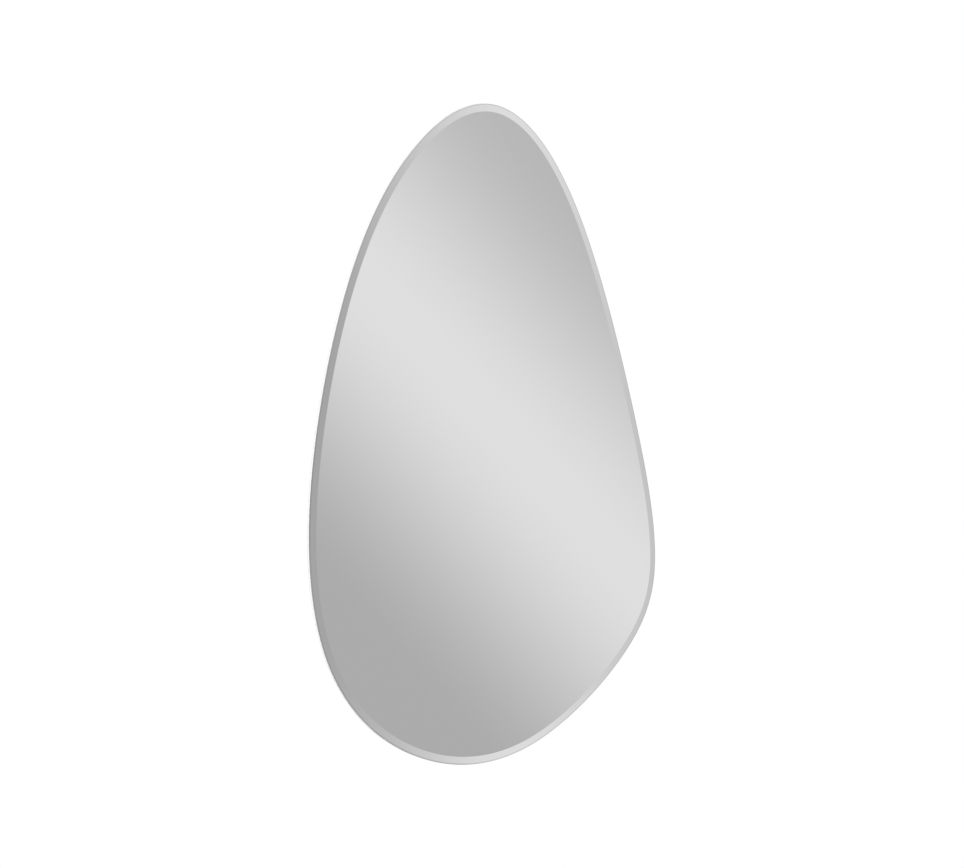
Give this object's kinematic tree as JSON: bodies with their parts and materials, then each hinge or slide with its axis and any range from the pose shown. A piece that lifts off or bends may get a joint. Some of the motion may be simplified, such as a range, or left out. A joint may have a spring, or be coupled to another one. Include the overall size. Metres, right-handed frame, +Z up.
{
  "type": "irregular wall mirror",
  "caption": "Frameless pebble-shaped wall mirror with a wide shallow bevel, floating on a smaller backing board and hung from folded strap hangers with swinging D-rings.",
  "frame": {"origin": "on the wall plane behind the mirror, midway between the pivots of the two hanging rings and straight above the centre of mass of the glass", "axes": "+Z up along the height of the mirror, +Y into the wall (the mirror faces -Y), +X to the right as seen from the front"},
  "size_m": [0.552, 0.0243, 0.8],
  "materials": {
    "mirror_glass": "polished float glass with a ground and polished bevel",
    "silver_layer": "wet-laid silver",
    "backing_paint": "grey mirror-backing paint",
    "backing_board": "medium-density fibreboard, painted matt black",
    "hanger_screws": "bright zinc plate",
    "mounting_tape": "white closed-cell foam tape",
    "wall_bumper": "black rubber, slightly matt",
    "hanger_strap": "bright zinc plate, lightly brushed",
    "hanger_ring": "bright zinc plate"
  },
  "bodies": {
    "mirror": {"mirror_glass": "mirror_glass", "silver_layer": "silver_layer", "backing_paint": "backing_paint", "backing_board": "backing_board", "hanger_screws": "hanger_screws", "mounting_tape_1": "mounting_tape", "mounting_tape_2": "mounting_tape", "mounting_tape_3": "mounting_tape", "mounting_tape_4": "mounting_tape", "mounting_tape_5": "mounting_tape", "wall_bumper_top_right": "wall_bumper", "wall_bumper_top_left": "wall_bumper", "wall_bumper_bottom_left": "wall_bumper", "wall_bumper_bottom_right": "wall_bumper", "hanger_strap_left": "hanger_strap", "hanger_strap_right": "hanger_strap"},
    "ring_left": {"hanger_ring_left": "hanger_ring"},
    "ring_right": {"hanger_ring_right": "hanger_ring"}
  },
  "joints": [
    {"name": "ring_left_swing", "type": "hinge", "parent": "mirror", "child": "ring_left", "pos_m": [-0.11, -0.0034, 0], "axis": [1, 0, 0], "range_deg": [0, 178.3]},
    {"name": "ring_right_swing", "type": "hinge", "parent": "mirror", "child": "ring_right", "pos_m": [0.11, -0.0034, 0], "axis": [1, 0, 0], "range_deg": [0, 178.3]}
  ]
}
